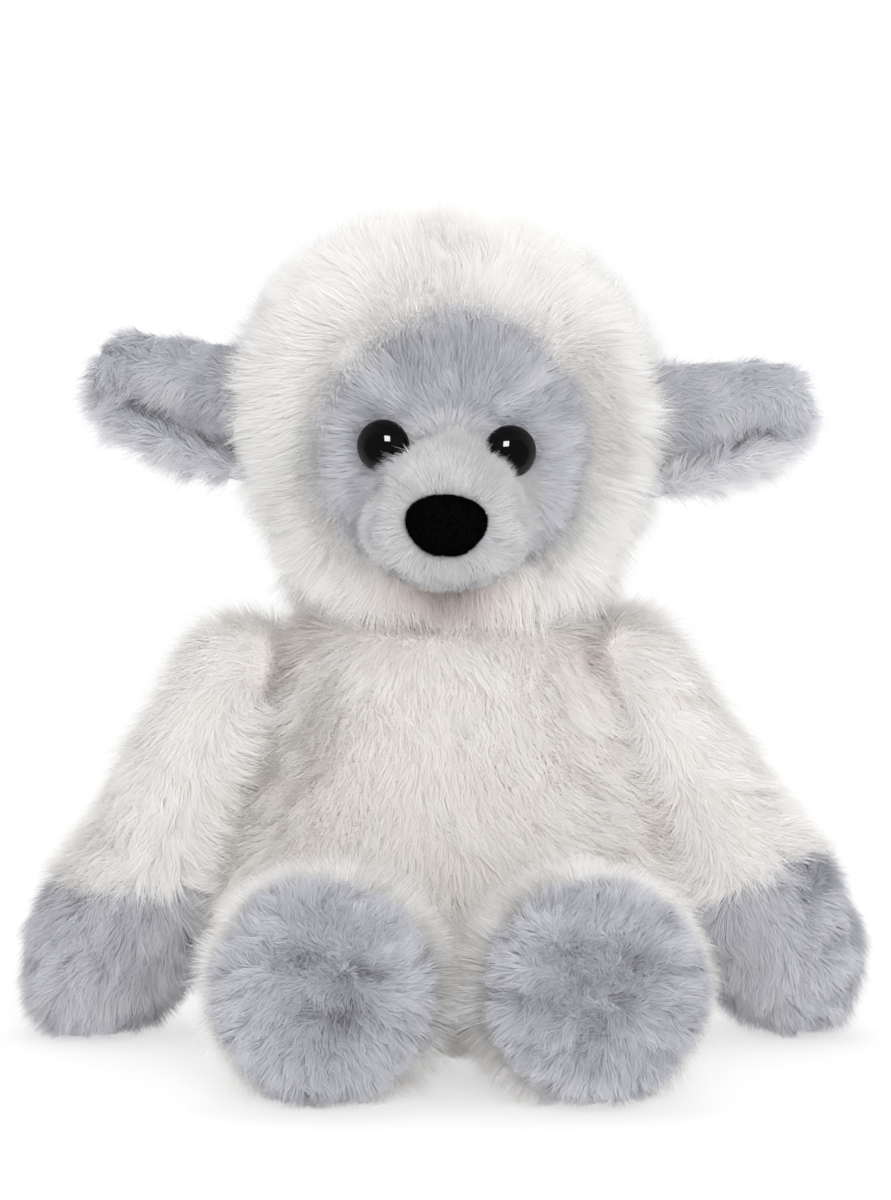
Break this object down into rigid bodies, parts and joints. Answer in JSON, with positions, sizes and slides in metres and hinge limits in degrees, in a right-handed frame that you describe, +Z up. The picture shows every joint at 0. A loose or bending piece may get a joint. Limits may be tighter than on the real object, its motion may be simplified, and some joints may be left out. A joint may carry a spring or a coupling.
{
  "type": "plush sheep",
  "caption": "Seated plush lamb with a hooded fleece head, short-pile face and muzzle, cupped side ears, mitten paws, round soles and a hanging tail, on a pellet-weighted seat.",
  "frame": {"origin": "centre of the flat of the seat, on the surface that the toy sits on, under its neck", "axes": "+Z up; the toy faces -Y; left and right in names are those of a viewer who faces the toy, so +X is right"},
  "size_m": [0.2489, 0.1999, 0.2392],
  "materials": {
    "white_fleece": "long-pile plush, off-white",
    "grey_plush": "medium-pile plush, blue-grey",
    "pale_plush": "short-pile plush, pale grey",
    "black_flock": "velvety black flock on a moulded cap",
    "eye_plastic": "polished",
    "washer_plastic": "moulded, natural",
    "polyester_stuffing": "carded polyester fibre",
    "calico": "plain-woven cotton, unbleached"
  },
  "bodies": {
    "torso": {"body_fleece": "white_fleece", "body_stuffing": "polyester_stuffing", "pellet_bag": "calico"},
    "head": {"head_fleece": "white_fleece", "face_panel": "grey_plush", "muzzle": "pale_plush", "nose": "black_flock", "head_stuffing": "polyester_stuffing", "eye_left": "eye_plastic", "eye_right": "eye_plastic", "eye_washer_left": "washer_plastic", "eye_washer_right": "washer_plastic", "nose_washer": "washer_plastic"},
    "tail": {"tail": "white_fleece"},
    "ear_left": {"ear_back_left": "grey_plush", "ear_lining_left": "grey_plush"},
    "arm_left": {"sleeve_left": "white_fleece", "paw_left": "grey_plush", "arm_stuffing_left": "polyester_stuffing"},
    "leg_left": {"leg_fleece_left": "white_fleece", "sole_left": "grey_plush", "leg_stuffing_left": "polyester_stuffing"},
    "ear_right": {"ear_back_right": "grey_plush", "ear_lining_right": "grey_plush"},
    "arm_right": {"sleeve_right": "white_fleece", "paw_right": "grey_plush", "arm_stuffing_right": "polyester_stuffing"},
    "leg_right": {"leg_fleece_right": "white_fleece", "sole_right": "grey_plush", "leg_stuffing_right": "polyester_stuffing"}
  },
  "joints": [
    {"name": "head_turn", "type": "hinge", "parent": "torso", "child": "head", "pos_m": [0, 0, 0.1243], "axis": [0, 0, 1], "range_deg": [-25, 25], "stiffness_Nm_per_rad": 0.05},
    {"name": "ear_left_swing", "type": "hinge", "parent": "head", "child": "ear_left", "pos_m": [-0.0611, 0, 0.18096], "axis": [0.0436, 0, 0.999], "range_deg": [-25, 25], "stiffness_Nm_per_rad": 0.004},
    {"name": "arm_left_lift", "type": "hinge", "parent": "torso", "child": "arm_left", "pos_m": [-0.0625, 0, 0.1095], "axis": [0, 1, 0], "range_deg": [0, 70]},
    {"name": "leg_left_swing", "type": "hinge", "parent": "torso", "child": "leg_left", "pos_m": [-0.034, -0.05079, 0.027], "axis": [-1, 0, 0], "range_deg": [-35, 45]},
    {"name": "ear_right_swing", "type": "hinge", "parent": "head", "child": "ear_right", "pos_m": [0.0608, 0, 0.17564], "axis": [-0.0436, 0, -0.999], "range_deg": [-25, 25], "stiffness_Nm_per_rad": 0.004},
    {"name": "arm_right_lift", "type": "hinge", "parent": "torso", "child": "arm_right", "pos_m": [0.053, 0, 0.1095], "axis": [0, -1, 0], "range_deg": [0, 70]},
    {"name": "leg_right_swing", "type": "hinge", "parent": "torso", "child": "leg_right", "pos_m": [0.034, -0.05079, 0.027], "axis": [-1, 0, 0], "range_deg": [-35, 45]},
    {"name": "tail_lift", "type": "hinge", "parent": "torso", "child": "tail", "pos_m": [0, 0.05606, 0.047], "axis": [1, 0, 0], "range_deg": [0, 60]}
  ]
}
